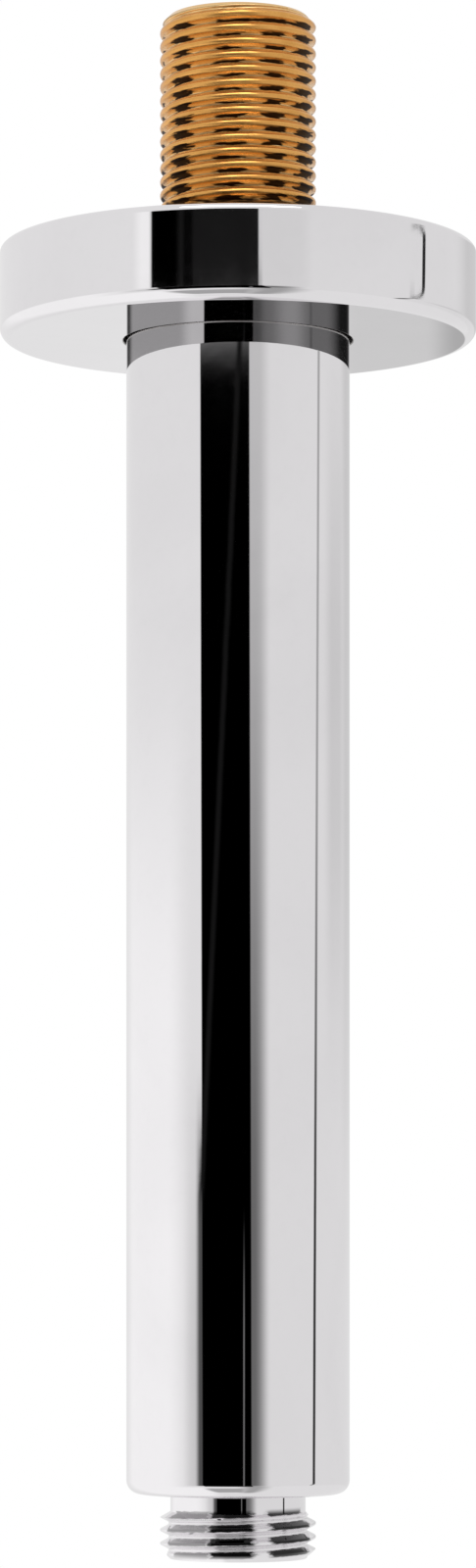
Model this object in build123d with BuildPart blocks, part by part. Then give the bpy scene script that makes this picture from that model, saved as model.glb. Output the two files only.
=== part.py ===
from build123d import *
from math import cos, radians, sin
import os

# Ceiling spout: a straight chromed tube hung from a threaded brass inlet nipple, its lower end closed
# round a short threaded outlet nipple. A loose hollow flange slides on the tube, gripped by a rubber
# ring, and covers the hole in the ceiling.
# Sizes are in millimetres. The origin is on the axis at the ceiling plane, +Z up into the ceiling.

# Flats that a rounded lower edge is turned in
edge_flats = 3

# Half-inch parallel pipe thread of both nipples, given by the crests
thread_diameter = 20.955
thread_relief_depth = 1.4

# Tube
tube_diameter = 30.0
tube_wall = 1.5
tube_stand = 0.8
tube_lead_in = 0.6
braze_clearance = 0.05

# Spout below the ceiling
spout_drop = 167.0
spout_edge_radius = 1.8
spout_end_wall = 3.0

# Inlet nipple
inlet_reach = 31.0
inlet_wall = 1.6
inlet_chamfer = 1.0
inlet_mouth_chamfer = 0.5
inlet_shoulder_height = 2.0
inlet_shoulder_setback = 0.8
inlet_relief_length = 2.0
inlet_plug_length = 9.0
inlet_plug_chamfer = 0.5

# Outlet nipple
outlet_reach = 8.7
outlet_wall = 1.5
outlet_spigot_step = 0.6
outlet_spigot_stand = 2.0
outlet_neck_length = 2.4
outlet_run_in = 0.8
outlet_chamfer = 1.3
outlet_mouth_chamfer = 0.6

# Ceiling flange
flange_diameter = 64.0
flange_height = 12.3
flange_wall = 2.0
flange_floor = 2.0
flange_lower_radius = 1.6
flange_rim_chamfer = 0.7
flange_gap = 0.4
flange_hole_chamfer = 0.3
boss_height = 7.5
boss_wall = 2.0
boss_lead_in = 0.4

# Square-cut rubber ring in the flange, as it lies between the tube and its groove
ring_depth = 1.7
ring_width = 2.2
ring_clearance = 0.04
ring_side_play = 0.15
ring_height = 4.6

# Radii shared by the pieces
tube_radius = tube_diameter / 2
tube_bore_radius = tube_radius - tube_wall
plug_radius = tube_bore_radius - braze_clearance
thread_radius = thread_diameter / 2
thread_relief_radius = thread_radius - thread_relief_depth
inlet_bore_radius = thread_relief_radius - inlet_wall
inlet_shoulder_radius = tube_radius - inlet_shoulder_setback
outlet_spigot_radius = thread_relief_radius - outlet_spigot_step
outlet_bore_radius = outlet_spigot_radius - outlet_wall
outlet_hole_radius = outlet_spigot_radius + braze_clearance
flange_radius = flange_diameter / 2
flange_inside_radius = flange_radius - flange_wall
flange_hole_radius = tube_radius + flange_gap
groove_radius = tube_radius + ring_depth
groove_width = ring_width + 2 * ring_side_play
boss_outer_radius = groove_radius + boss_wall
ring_inner_radius = tube_radius + ring_clearance
ring_outer_radius = groove_radius - ring_clearance

# Heights above the ceiling plane
underside_z = -flange_height
floor_z = underside_z + flange_floor
boss_top_z = underside_z + boss_height
ring_middle_z = underside_z + ring_height
groove_bottom_z = ring_middle_z - groove_width / 2
groove_top_z = ring_middle_z + groove_width / 2
ring_bottom_z = ring_middle_z - ring_width / 2
ring_top_z = ring_middle_z + ring_width / 2
tube_top_z = boss_top_z + tube_stand
inlet_shoulder_z = tube_top_z + inlet_shoulder_height
inlet_thread_z = inlet_shoulder_z + inlet_relief_length
inlet_end_z = inlet_reach
inlet_plug_z = tube_top_z - inlet_plug_length
spout_bottom_z = -spout_drop
tube_floor_z = spout_bottom_z + spout_end_wall
outlet_spigot_z = tube_floor_z + outlet_spigot_stand
outlet_thread_z = spout_bottom_z - outlet_neck_length
outlet_end_z = spout_bottom_z - outlet_reach


def rounded_corner(radius, z, rounding):
    """Points of a rounded lower corner, from its underside to its wall, spaced evenly on the arc."""
    angles = [radians(90 * step / edge_flats) for step in range(edge_flats + 1)]
    return [(radius - rounding + rounding * sin(a), z + rounding - rounding * cos(a)) for a in angles]


def round_edge(piece, radius, z):
    """The circular edge of a turned piece that lies nearest to a radius and a height."""
    circles = piece.edges().filter_by(GeomType.CIRCLE)
    return circles.sort_by(lambda edge: abs(edge.radius - radius) + abs(edge.center().Z - z))[0]


# Tube with a closed lower end; its upper outer edge is broken so that the ring slides on
with BuildPart() as spout_tube:
    with BuildSketch(Plane.XZ):
        with BuildLine():
            Polyline(
                (outlet_hole_radius, spout_bottom_z),
                *rounded_corner(tube_radius, spout_bottom_z, spout_edge_radius),
                (tube_radius, tube_top_z),
                (tube_bore_radius, tube_top_z),
                (tube_bore_radius, tube_floor_z),
                (outlet_hole_radius, tube_floor_z),
                close=True,
            )
        make_face()
    revolve(axis=Axis.Z)
    chamfer(round_edge(spout_tube, tube_radius, tube_top_z), tube_lead_in)

# Inlet nipple: a plug in the tube, a shoulder on the tube's end, a relief groove and the thread
with BuildPart() as inlet_nipple:
    with BuildSketch(Plane.XZ):
        with BuildLine():
            Polyline(
                (inlet_bore_radius, inlet_plug_z),
                (plug_radius, inlet_plug_z),
                (plug_radius, tube_top_z),
                (inlet_shoulder_radius, tube_top_z),
                (inlet_shoulder_radius, inlet_shoulder_z),
                (thread_relief_radius, inlet_shoulder_z),
                (thread_relief_radius, inlet_thread_z),
                (thread_radius, inlet_thread_z),
                (thread_radius, inlet_end_z),
                (inlet_bore_radius, inlet_end_z),
                close=True,
            )
        make_face()
    revolve(axis=Axis.Z)
    chamfer(round_edge(inlet_nipple, thread_radius, inlet_end_z), inlet_chamfer)
    chamfer(round_edge(inlet_nipple, inlet_bore_radius, inlet_end_z), inlet_mouth_chamfer)
    chamfer(round_edge(inlet_nipple, plug_radius, inlet_plug_z), inlet_plug_chamfer)

# Outlet nipple: a spigot through the tube's closed end, a neck that bears on it and the thread
with BuildPart() as outlet_nipple:
    with BuildSketch(Plane.XZ):
        with BuildLine():
            Polyline(
                (outlet_bore_radius, outlet_spigot_z),
                (outlet_spigot_radius, outlet_spigot_z),
                (outlet_spigot_radius, spout_bottom_z),
                (thread_relief_radius, spout_bottom_z),
                (thread_relief_radius, outlet_thread_z),
                (thread_radius, outlet_thread_z),
                (thread_radius, outlet_end_z),
                (outlet_bore_radius, outlet_end_z),
                close=True,
            )
        make_face()
    revolve(axis=Axis.Z)
    chamfer(round_edge(outlet_nipple, thread_radius, outlet_thread_z), outlet_run_in)
    chamfer(round_edge(outlet_nipple, thread_radius, outlet_end_z), outlet_chamfer)
    chamfer(round_edge(outlet_nipple, outlet_bore_radius, outlet_end_z), outlet_mouth_chamfer)

# Flange: a cup open to the ceiling, with a grooved boss round the tube
with BuildPart() as ceiling_flange:
    with BuildSketch(Plane.XZ):
        with BuildLine():
            Polyline(
                (flange_hole_radius, underside_z),
                *rounded_corner(flange_radius, underside_z, flange_lower_radius),
                (flange_radius, 0),
                (flange_inside_radius, 0),
                (flange_inside_radius, floor_z),
                (boss_outer_radius, floor_z),
                (boss_outer_radius, boss_top_z),
                (flange_hole_radius, boss_top_z),
                (flange_hole_radius, groove_top_z),
                (groove_radius, groove_top_z),
                (groove_radius, groove_bottom_z),
                (flange_hole_radius, groove_bottom_z),
                close=True,
            )
        make_face()
    revolve(axis=Axis.Z)
    chamfer(round_edge(ceiling_flange, flange_radius, 0), flange_rim_chamfer)
    chamfer(round_edge(ceiling_flange, flange_hole_radius, underside_z), flange_hole_chamfer)
    chamfer(round_edge(ceiling_flange, flange_hole_radius, boss_top_z), boss_lead_in)

# Rubber ring of square section in the flange's groove
with BuildPart() as flange_grip_ring:
    with BuildSketch(Plane.XY.offset(ring_bottom_z)):
        Circle(ring_outer_radius)
        Circle(ring_inner_radius, mode=Mode.SUBTRACT)
    extrude(amount=ring_top_z - ring_bottom_z)

spout_tube.part.label = "spout_tube"
inlet_nipple.part.label = "inlet_nipple"
outlet_nipple.part.label = "outlet_nipple"
ceiling_flange.part.label = "ceiling_flange"
flange_grip_ring.part.label = "flange_grip_ring"

os.makedirs("parts", exist_ok=True)
export_step(spout_tube.part, "parts/spout_tube.step")
export_step(inlet_nipple.part, "parts/inlet_nipple.step")
export_step(outlet_nipple.part, "parts/outlet_nipple.step")
export_step(ceiling_flange.part, "parts/ceiling_flange.step")
export_step(flange_grip_ring.part, "parts/flange_grip_ring.step")
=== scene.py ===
import logging
import math
from dataclasses import dataclass, replace
from enum import Enum
from typing import Self, Sequence

import bpy
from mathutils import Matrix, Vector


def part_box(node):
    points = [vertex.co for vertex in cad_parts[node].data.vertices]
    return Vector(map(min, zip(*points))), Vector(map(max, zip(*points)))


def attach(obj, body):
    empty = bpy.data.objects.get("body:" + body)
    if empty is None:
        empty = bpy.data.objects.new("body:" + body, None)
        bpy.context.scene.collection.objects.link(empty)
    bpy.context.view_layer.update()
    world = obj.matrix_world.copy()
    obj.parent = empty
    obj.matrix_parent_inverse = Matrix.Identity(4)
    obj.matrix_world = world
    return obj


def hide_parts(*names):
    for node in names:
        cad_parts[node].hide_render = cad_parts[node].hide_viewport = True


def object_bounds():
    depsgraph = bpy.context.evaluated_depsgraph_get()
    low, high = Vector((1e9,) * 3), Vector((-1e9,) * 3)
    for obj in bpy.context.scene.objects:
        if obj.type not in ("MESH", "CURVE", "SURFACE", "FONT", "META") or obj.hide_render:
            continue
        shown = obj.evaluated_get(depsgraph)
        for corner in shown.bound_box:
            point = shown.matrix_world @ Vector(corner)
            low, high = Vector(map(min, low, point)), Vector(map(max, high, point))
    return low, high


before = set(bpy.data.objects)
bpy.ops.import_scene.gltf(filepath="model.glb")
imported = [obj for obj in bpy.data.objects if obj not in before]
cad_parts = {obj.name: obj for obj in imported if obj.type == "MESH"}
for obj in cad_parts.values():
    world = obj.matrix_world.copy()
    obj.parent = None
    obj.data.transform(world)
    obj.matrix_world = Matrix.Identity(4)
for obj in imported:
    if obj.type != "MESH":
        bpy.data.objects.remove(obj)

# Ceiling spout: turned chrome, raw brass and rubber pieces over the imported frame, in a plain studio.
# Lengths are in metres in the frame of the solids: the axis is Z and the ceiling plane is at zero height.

LOG = logging.getLogger("ceiling_spout")
CAD_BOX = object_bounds()

# Half-inch parallel pipe thread of both nipples
THREAD_RADIUS = 0.0104775
THREAD_PITCH = 0.001814
RELIEF_RADIUS = 0.0090775

# Height of one crest of each thread on the left side of the spout
INLET_CREST = 0.0198
OUTLET_CREST = -0.17007

# Share of the pitch between a crest and the root next to it
ROOT_SHARE = 0.5

# Azimuths in degrees, counted from the front
LEFT_SIDE = -90.0
FULL_TURN = 360.0

# Smear at which a surface is as dull as it gets
FULL_SMEAR = 1.2

Socket = bpy.types.NodeSocket
Feed = Socket | float
Colour = tuple[float, float, float, float]
Triple = tuple[float, float, float]
Span = tuple[float, float]


class Body(Enum):
    """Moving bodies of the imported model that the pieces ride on."""

    SPOUT = "spout"
    GRIP_RING = "grip_ring"
    FLANGE = "flange"


class Slot(Enum):
    """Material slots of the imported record."""

    CHROME = "chrome"
    BRASS = "brass"
    RUBBER = "rubber"


class Flank(Enum):
    """Which flank of a thread the painted groove shade climbs from the root."""

    UPPER = "above the root"
    LOWER = "below the root"


class Face(Enum):
    """Which surface of a turned piece a face belongs to; the value is its material slot number."""

    OUTSIDE = 0
    INSIDE = 1


# Turned meshes


@dataclass(frozen=True)
class Corner:
    """Corner of a turned outline.

    Args:
        radius: Distance from the axis.
        height: Height above the ceiling plane.
        rounding: Radius that breaks the corner.
        face: Surface that runs from this corner to the next one.
    """

    radius: float
    height: float
    rounding: float = 0.00012
    face: Face = Face.OUTSIDE


@dataclass(frozen=True)
class RimPoint:
    """Point of a rounded outline, with the outward and upward shares of its normal."""

    radius: float
    height: float
    outward: float
    upward: float
    face: Face


class TurnedOutline:
    """Closed outline of a turned piece, its corners listed anticlockwise with the metal on the left."""

    def __init__(self, corners: Sequence[Corner], arc_step: float = math.radians(7.5)) -> None:
        """Keeps the corners and the angle between the points of each rounding."""
        self.corners = list(corners)
        self.arc_step = arc_step

    def points(self) -> list[list[RimPoint]]:
        """Rounds every corner.

        Returns:
            For each corner, the points along its rounding.
        """
        before = self.corners[-1:] + self.corners[:-1]
        after = self.corners[1:] + self.corners[:1]
        return [self._round(*trio) for trio in zip(before, self.corners, after)]

    def _round(self, before: Corner, corner: Corner, after: Corner) -> list[RimPoint]:
        """Rounds one corner.

        Args:
            before: Corner that the outline comes from.
            corner: Corner to round.
            after: Corner that the outline goes on to.

        Returns:
            The points of the rounding, each with its exact normal.
        """
        start = math.atan2(corner.height - before.height, corner.radius - before.radius)
        end = math.atan2(after.height - corner.height, after.radius - corner.radius)
        turn = math.remainder(end - start, math.tau)
        side = math.copysign(1.0, turn)
        trim = corner.rounding * math.tan(abs(turn) / 2)
        first_radius = corner.radius - trim * math.cos(start)
        first_height = corner.height - trim * math.sin(start)
        centre_radius = first_radius - side * corner.rounding * math.sin(start)
        centre_height = first_height + side * corner.rounding * math.cos(start)
        steps = max(2, math.ceil(abs(turn) / self.arc_step))
        points = []
        for step in range(steps + 1):
            heading = start + turn * step / steps
            outward, upward = math.sin(heading), -math.cos(heading)
            radius = centre_radius + side * corner.rounding * outward
            height = centre_height + side * corner.rounding * upward
            face = before.face if step < steps else corner.face
            points.append(RimPoint(radius, height, outward, upward, face))
        return points


@dataclass(frozen=True)
class PipeThread:
    """Parallel right-hand pipe thread with rounded crests and roots.

    Args:
        low: Height where the thread starts.
        high: Height where the thread ends.
        low_radius: Radius that the thread is turned down to at its lower end.
        high_radius: Radius that the thread is turned down to at its upper end.
        low_slope: Rise of radius with height above the lower end.
        high_slope: Rise of radius with depth below the upper end.
        crest_height: Height of one crest on the left side of the piece.
        crest_round: Rounding of the crests.
        root_round: Rounding of the roots.
        crest_radius: Radius over the crests.
        pitch: Distance between turns.
        flank_angle: Angle between a flank and the level plane.
    """

    low: float
    high: float
    low_radius: float
    high_radius: float
    low_slope: float
    high_slope: float
    crest_height: float
    crest_round: float = 0.000249
    root_round: float = 0.000249
    crest_radius: float = THREAD_RADIUS
    pitch: float = THREAD_PITCH
    flank_angle: float = math.radians(27.5)

    @property
    def depth(self) -> float:
        """Radial depth from crest to root."""
        sharp = self.pitch / 2 / math.tan(self.flank_angle)
        return sharp - (self.crest_round + self.root_round) * (1.0 / math.sin(self.flank_angle) - 1.0)

    def stations(self) -> list[float]:
        """Places the points along one turn of the profile.

        Returns:
            Their heights above a crest, as shares of the pitch.
        """
        crest = self.crest_round * math.cos(self.flank_angle) / self.pitch
        root = self.root_round * math.cos(self.flank_angle) / self.pitch
        climb = [crest * share for share in (0.0, 0.3, 0.55, 0.8, 1.0)]
        climb += [ROOT_SHARE - root * share for share in (1.0, 0.75, 0.4)]
        return climb + [ROOT_SHARE] + [1.0 - share for share in reversed(climb[1:])]

    def surface(self, angle: float, height: float) -> Triple:
        """Finds the thread's radius at one place.

        Args:
            angle: Angle about the axis.
            height: Height above the ceiling plane.

        Returns:
            The radius, and its slope along the height and along the angle.
        """
        lead = self.pitch / math.tau
        offset = math.remainder(height - self.crest_height - lead * (angle - math.pi), self.pitch)
        radius, slope = self._profile(offset)
        low_limit = self.low_radius + self.low_slope * (height - self.low)
        high_limit = self.high_radius + self.high_slope * (self.high - height)
        if min(low_limit, high_limit) >= radius:
            return radius, slope, -slope * lead
        if low_limit < high_limit:
            return low_limit, self.low_slope, 0.0
        return high_limit, -self.high_slope, 0.0

    def _profile(self, offset: float) -> tuple[float, float]:
        """Follows the full profile, before the ends are turned down.

        Args:
            offset: Height above the nearest crest.

        Returns:
            The radius and its slope along the height.
        """
        side = math.copysign(1.0, offset)
        reach = abs(offset)
        to_root = self.pitch / 2 - reach
        crest, root = self.crest_round, self.root_round
        crest_half = crest * math.cos(self.flank_angle)
        if reach <= crest_half:
            fall = math.sqrt(crest * crest - reach * reach)
            return self.crest_radius - crest + fall, -side * reach / fall
        if to_root <= root * math.cos(self.flank_angle):
            fall = math.sqrt(root * root - to_root * to_root)
            return self.crest_radius - self.depth + root - fall, -side * to_root / fall
        steep = 1.0 / math.tan(self.flank_angle)
        drop = crest * (1.0 - math.sin(self.flank_angle))
        return self.crest_radius - drop - steep * (reach - crest_half), -side * steep


class TurnedMesh:
    """Mesh of a piece turned about Z, with exact normals at every point."""

    def __init__(self, name: str, columns: int) -> None:
        """Starts an empty mesh with a number of columns about the axis."""
        self.name = name
        self.columns = columns
        self.places: list[Triple] = []
        self.normals: list[Triple] = []
        self.faces: list[tuple[int, ...]] = []
        self.face_slots: list[int] = []

    def turn(self, outline: TurnedOutline, thread: PipeThread | None = None, thread_after: int = -1) -> None:
        """Turns an outline about the axis.

        Args:
            outline: Outline to turn.
            thread: Thread that takes the place of one straight run of the outline.
            thread_after: Number of the corner that the threaded run starts from.
        """
        runs = outline.points()
        rings = [[self._ring(point) for point in run] for run in runs]
        for number, run in enumerate(rings):
            following = rings[(number + 1) % len(rings)]
            for here, there, point in zip(run, run[1:], runs[number]):
                self._join(here, there, point.face)
            if number == thread_after and thread is not None:
                self._cut_thread(thread, runs[number][-1].face)
            else:
                self._join(run[-1], following[0], runs[number][-1].face)

    def build(self, materials: Sequence[bpy.types.Material]) -> bpy.types.Object:
        """Makes the object.

        Args:
            materials: Materials in the order of the face slots.

        Returns:
            The finished object, linked to the scene.
        """
        mesh = bpy.data.meshes.new(self.name)
        mesh.from_pydata(self.places, [], self.faces)
        for material in materials:
            mesh.materials.append(material)
        mesh.polygons.foreach_set("material_index", self.face_slots)
        mesh.shade_smooth()
        mesh.normals_split_custom_set_from_vertices(self.normals)
        piece = bpy.data.objects.new(self.name, mesh)
        bpy.context.scene.collection.objects.link(piece)
        return piece

    def _add(self, angle: float, radius: float, height: float, normal: Triple) -> int:
        """Adds one point.

        Args:
            angle: Angle about the axis.
            radius: Distance from the axis.
            height: Height above the ceiling plane.
            normal: Outward, round and upward shares of the normal.

        Returns:
            The number of the point.
        """
        cosine, sine = math.cos(angle), math.sin(angle)
        outward, around, upward = normal
        self.places.append((radius * cosine, radius * sine, height))
        self.normals.append((outward * cosine - around * sine, outward * sine + around * cosine, upward))
        return len(self.places) - 1

    def _ring(self, point: RimPoint) -> list[int]:
        """Adds a level ring of points.

        Args:
            point: Point of the outline that the ring passes through.

        Returns:
            The numbers of the points.
        """
        normal = (point.outward, 0.0, point.upward)
        step = math.tau / self.columns
        return [self._add(i * step, point.radius, point.height, normal) for i in range(self.columns)]

    def _quad(self, corners: Sequence[int], face: Face) -> None:
        """Adds one face, leaving out repeated corners.

        Args:
            corners: Numbers of its points.
            face: Surface that it belongs to.
        """
        kept = list(dict.fromkeys(corners))
        if len(kept) > 2:
            self.faces.append(tuple(kept))
            self.face_slots.append(face.value)

    def _join(self, here: list[int], there: list[int], face: Face) -> None:
        """Joins a ring to the next ring along the outline.

        Args:
            here: Points of the ring.
            there: Points of the next ring.
            face: Surface between them.
        """
        for i in range(self.columns):
            j = (i + 1) % self.columns
            self._quad((here[i], here[j], there[j], there[i]), face)

    def _cut_thread(self, thread: PipeThread, face: Face, spare_turns: int = 3) -> None:
        """Adds the helical surface of a thread, its rows running along the helix.

        Args:
            thread: Thread to cut.
            face: Surface that the thread belongs to.
            spare_turns: Turns followed beyond the thread's length, to fill both ends.
        """
        stations = thread.stations()
        turns = math.ceil((thread.high - thread.low) / thread.pitch) + spare_turns
        columns = [self._thread_column(thread, i, stations, turns) for i in range(self.columns)]
        rows = len(columns[0])
        for i, column in enumerate(columns):
            last = i == self.columns - 1
            neighbour = columns[0] if last else columns[i + 1]
            shift = len(stations) if last else 0
            for row in range(rows - 1):
                low = min(row + shift, rows - 1)
                high = min(row + shift + 1, rows - 1)
                self._quad((column[row], neighbour[low], neighbour[high], column[row + 1]), face)

    def _thread_column(
        self, thread: PipeThread, number: int, stations: Sequence[float], turns: int
    ) -> list[int]:
        """Adds one column of points up a thread.

        Args:
            thread: Thread to cut.
            number: Number of the column about the axis.
            stations: Shares of the pitch at which the profile has points.
            turns: Number of turns to follow.

        Returns:
            The numbers of the points; places above or below the thread repeat its end points.
        """
        angle = math.tau * number / self.columns
        lead = thread.pitch * (number / self.columns - 0.5)
        below = math.floor((thread.low - thread.crest_height) / thread.pitch) - 1
        column: list[int] = []
        last_height = math.nan
        for turn in range(turns + 1):
            for share in stations:
                height = thread.crest_height + lead + thread.pitch * (below + turn + share)
                height = min(max(height, thread.low), thread.high)
                if height != last_height:
                    radius, slope, twist = thread.surface(angle, height)
                    scale = 1.0 / math.hypot(1.0, twist / radius, slope)
                    normal = (scale, -twist / radius * scale, -slope * scale)
                    point = self._add(angle, radius, height, normal)
                    last_height = height
                column.append(point)
        return column


# Shader nodes


class NodeSheet:
    """Adds nodes to one shader tree and wires them."""

    def __init__(self, tree: bpy.types.NodeTree) -> None:
        """Keeps the tree."""
        self.tree = tree

    def add(self, kind: str, **settings: object) -> bpy.types.Node:
        """Adds a node.

        Args:
            kind: Type of the node.
            settings: Properties to set on it.

        Returns:
            The node.
        """
        node = self.tree.nodes.new(kind)
        for key, value in settings.items():
            setattr(node, key, value)
        return node

    def feed(self, target: Socket, source: Feed | Colour) -> None:
        """Feeds an input.

        Args:
            target: Input to feed.
            source: Output to link, or a plain value to set.
        """
        if isinstance(source, Socket):
            self.tree.links.new(source, target)
        else:
            target.default_value = source

    def math(self, operation: str, first: Feed, second: Feed = 0.0) -> Socket:
        """Adds a math node.

        Args:
            operation: What it works out.
            first: First number.
            second: Second number, where the operation takes one.

        Returns:
            The result.
        """
        node = self.add("ShaderNodeMath", operation=operation)
        self.feed(node.inputs[0], first)
        self.feed(node.inputs[1], second)
        return node.outputs[0]

    def ramp(self, value: Feed, start: Feed, end: Feed, low: float = 0.0, high: float = 1.0) -> Socket:
        """Maps a value smoothly.

        Args:
            value: Value to map.
            start: Value that gives the low result.
            end: Value that gives the high result.
            low: Result up to the start.
            high: Result from the end on.

        Returns:
            The result.
        """
        node = self.add("ShaderNodeMapRange", interpolation_type="SMOOTHSTEP")
        for number, source in enumerate((value, start, end, low, high)):
            self.feed(node.inputs[number], source)
        return node.outputs[0]

    def band(self, value: Feed, span: Span, blur: float) -> Socket:
        """Marks where a value lies within a span.

        Args:
            value: Value to test.
            span: Start and end of the span.
            blur: Half of the width of its blurred edges.

        Returns:
            One well within the span and zero outside.
        """
        start, end = span
        rise = self.ramp(value, start - blur, start + blur)
        fall = self.ramp(value, end - blur, end + blur, 1.0, 0.0)
        return self.math("MULTIPLY", rise, fall)

    def mix_value(self, share: Feed, first: Feed, second: Feed) -> Socket:
        """Mixes two numbers.

        Args:
            share: Share of the second number.
            first: First number.
            second: Second number.

        Returns:
            The mix.
        """
        node = self.add("ShaderNodeMix", data_type="FLOAT")
        self.feed(node.inputs[0], share)
        self.feed(node.inputs[2], first)
        self.feed(node.inputs[3], second)
        return node.outputs[0]

    def mix_colour(self, share: Feed, first: Socket | Colour, second: Socket | Colour) -> Socket:
        """Mixes two colours.

        Args:
            share: Share of the second colour.
            first: First colour.
            second: Second colour.

        Returns:
            The mix.
        """
        node = self.add("ShaderNodeMix", data_type="RGBA")
        self.feed(node.inputs[0], share)
        self.feed(node.inputs[6], first)
        self.feed(node.inputs[7], second)
        return node.outputs[2]

    def place(self) -> Socket:
        """Adds the place of a point in the piece's own frame."""
        return self.add("ShaderNodeTexCoord").outputs["Object"]

    def split(self, vector: Socket) -> Sequence[Socket]:
        """Splits a vector.

        Args:
            vector: Vector to split.

        Returns:
            Its three numbers.
        """
        node = self.add("ShaderNodeSeparateXYZ")
        self.feed(node.inputs[0], vector)
        return node.outputs

    def azimuth(self, right: Socket, away: Socket) -> Socket:
        """Finds an azimuth in degrees from the front, positive to the right.

        Args:
            right: Share of the direction to the right.
            away: Share of the direction away from the front.

        Returns:
            The azimuth.
        """
        towards = self.math("MULTIPLY", away, -1.0)
        return self.math("DEGREES", self.math("ARCTAN2", right, towards))

    def hypotenuse(self, first: Socket, second: Socket) -> Socket:
        """Finds the length of two numbers taken at right angles.

        Args:
            first: First number.
            second: Second number.

        Returns:
            The length.
        """
        squares = self.math("ADD", self.math("POWER", first, 2.0), self.math("POWER", second, 2.0))
        return self.math("SQRT", squares)

    def noise(self, place: Socket, scale: Feed, detail: float = 2.0, distortion: float = 0.0) -> Socket:
        """Adds a noise.

        Args:
            place: Place where it is read.
            scale: Number of waves in one unit.
            detail: Number of finer layers.
            distortion: Amount that it twists itself.

        Returns:
            The noise, about a half.
        """
        node = self.add("ShaderNodeTexNoise")
        node.inputs["Detail"].default_value = detail
        node.inputs["Distortion"].default_value = distortion
        self.feed(node.inputs["Vector"], place)
        self.feed(node.inputs["Scale"], scale)
        return node.outputs[0]

    def bump(self, height: Socket, distance: float, under: Socket | None = None) -> Socket:
        """Adds a bump.

        Args:
            height: Height over the surface, as a share of the distance.
            distance: Height that a share of one stands for.
            under: Normal that the bump lies on, where it isn't the surface's own.

        Returns:
            The bumped normal.
        """
        node = self.add("ShaderNodeBump")
        node.inputs["Distance"].default_value = distance
        self.feed(node.inputs["Height"], height)
        if under is not None:
            self.feed(node.inputs["Normal"], under)
        return node.outputs[0]


class SurfaceEffects:
    """Node groups that several finishes share."""

    def __init__(self) -> None:
        """Builds each group once."""
        self.haze = self._build_haze()
        self.turning = self._build_turning()

    def use(self, sheet: NodeSheet, group: bpy.types.NodeTree, **inputs: float) -> bpy.types.Node:
        """Puts a group into a material.

        Args:
            sheet: Sheet of the material.
            group: Group to use.
            inputs: Values of the group's inputs by name.

        Returns:
            The group node.
        """
        node = sheet.add("ShaderNodeGroup", node_tree=group)
        for name, value in inputs.items():
            node.inputs[name].default_value = value
        return node

    @staticmethod
    def _open(
        name: str, inputs: dict[str, float], outputs: Sequence[str]
    ) -> tuple[NodeSheet, bpy.types.Node, bpy.types.Node]:
        """Starts a group.

        Args:
            name: Name of the group.
            inputs: Input names with their first values.
            outputs: Output names.

        Returns:
            The group's sheet, its input node and its output node.
        """
        tree = bpy.data.node_groups.new(name, "ShaderNodeTree")
        for label, value in inputs.items():
            socket = tree.interface.new_socket(label, in_out="INPUT", socket_type="NodeSocketFloat")
            socket.default_value = value
        for label in outputs:
            tree.interface.new_socket(label, in_out="OUTPUT", socket_type="NodeSocketFloat")
        sheet = NodeSheet(tree)
        return sheet, sheet.add("NodeGroupInput"), sheet.add("NodeGroupOutput")

    def _build_haze(self) -> bpy.types.NodeTree:
        """Builds the soft smears and fine specks left by polishing and handling.

        Returns:
            The group; specks are much finer than smears.
        """
        inputs = {"Size": 45.0, "Speck": 0.3}
        sheet, source, result = self._open("handling_haze", inputs, ("Smear", "Height"))
        place = sheet.place()
        size = source.outputs["Size"]
        smear = sheet.noise(place, size, detail=4.0, distortion=0.8)
        speck = sheet.noise(place, sheet.math("MULTIPLY", size, 22.0))
        blotch = sheet.ramp(smear, 0.36, 0.68)
        grain = sheet.math("MULTIPLY", sheet.ramp(speck, 0.45, 0.75), source.outputs["Speck"])
        sheet.feed(result.inputs["Smear"], sheet.math("ADD", blotch, grain))
        sheet.feed(result.inputs["Height"], smear)
        return sheet.tree

    def _build_turning(self) -> bpy.types.NodeTree:
        """Builds the fine rings that a lathe tool leaves about the axis.

        Returns:
            The group; its rings run along both the radius and the height.
        """
        inputs = {"Feed": 9000.0, "Unevenness": 0.5}
        sheet, source, result = self._open("turning_marks", inputs, ("Height", "Wear"))
        place = sheet.place()
        right, away, up = sheet.split(place)
        rings = sheet.add("ShaderNodeTexNoise", noise_dimensions="1D")
        rings.inputs["Detail"].default_value = 3.0
        sheet.feed(rings.inputs["W"], sheet.math("ADD", sheet.hypotenuse(right, away), up))
        sheet.feed(rings.inputs["Scale"], source.outputs["Feed"])
        wear = sheet.ramp(sheet.noise(place, 160.0, detail=3.0), 0.35, 0.7)
        patches = sheet.math("MULTIPLY", wear, source.outputs["Unevenness"])
        sheet.feed(result.inputs["Height"], sheet.math("ADD", rings.outputs[0], patches))
        sheet.feed(result.inputs["Wear"], wear)
        return sheet.tree


def new_material(name: str) -> tuple[bpy.types.Material, NodeSheet, bpy.types.Node]:
    """Starts a material with an empty principled shader.

    Args:
        name: Name of the material.

    Returns:
        The material, its sheet and its principled shader node.
    """
    material = bpy.data.materials.new(name)
    material.use_nodes = True
    shader = material.node_tree.nodes["Principled BSDF"]
    return material, NodeSheet(material.node_tree), shader


# Finishes


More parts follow.
